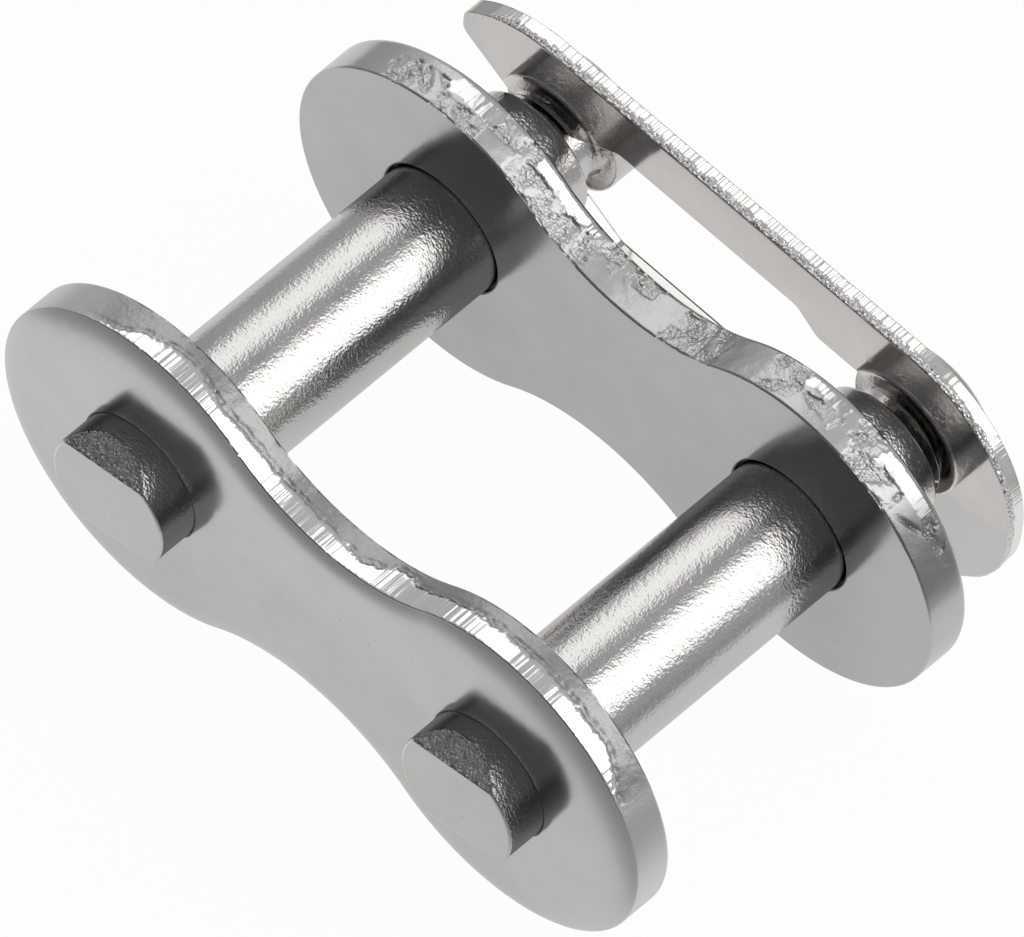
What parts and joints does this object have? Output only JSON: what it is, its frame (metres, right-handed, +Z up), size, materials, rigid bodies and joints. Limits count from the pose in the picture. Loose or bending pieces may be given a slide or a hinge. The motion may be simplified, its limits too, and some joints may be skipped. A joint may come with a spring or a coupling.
{
  "type": "roller chain connecting link",
  "caption": "Spring-clip connecting link that joins the ends of a roller chain: pins pressed in a figure-eight plate, a slip-on cover plate, and a flat clip that snaps into the pins' grooves.",
  "frame": {"origin": "on the surface that the plates' edges stand on, below the middle of the link: midway between the pins and midway along them", "axes": "+X from the left pin, at the clip's open mouth, to the right pin, at its closed end; +Y along the pins from the pin plate to the spring clip; +Z up, across the plates"},
  "size_m": [0.023, 0.0182, 0.0103],
  "materials": {
    "plate_steel": "blanked and tumbled, satin faces, striated cut edges",
    "pin_steel": "tumbled bright, fine orange peel",
    "spring_steel": "cold-rolled strip, satin, bright cut edges"
  },
  "bodies": {
    "pin_link": {"pin_plate": "plate_steel", "left_pin": "pin_steel", "right_pin": "pin_steel"},
    "cover": {"cover_plate": "plate_steel"},
    "clip": {"spring_clip": "spring_steel"}
  },
  "joints": [
    {"name": "cover_slide", "type": "slide", "parent": "pin_link", "child": "cover", "axis": [0, 1, 0], "range_m": [-0.0097, 0.0024]},
    {"name": "clip_slide", "type": "slide", "parent": "pin_link", "child": "clip", "axis": [1, 0, 0], "range_m": [0, 0.006], "deforming": ["spring_clip"]}
  ]
}
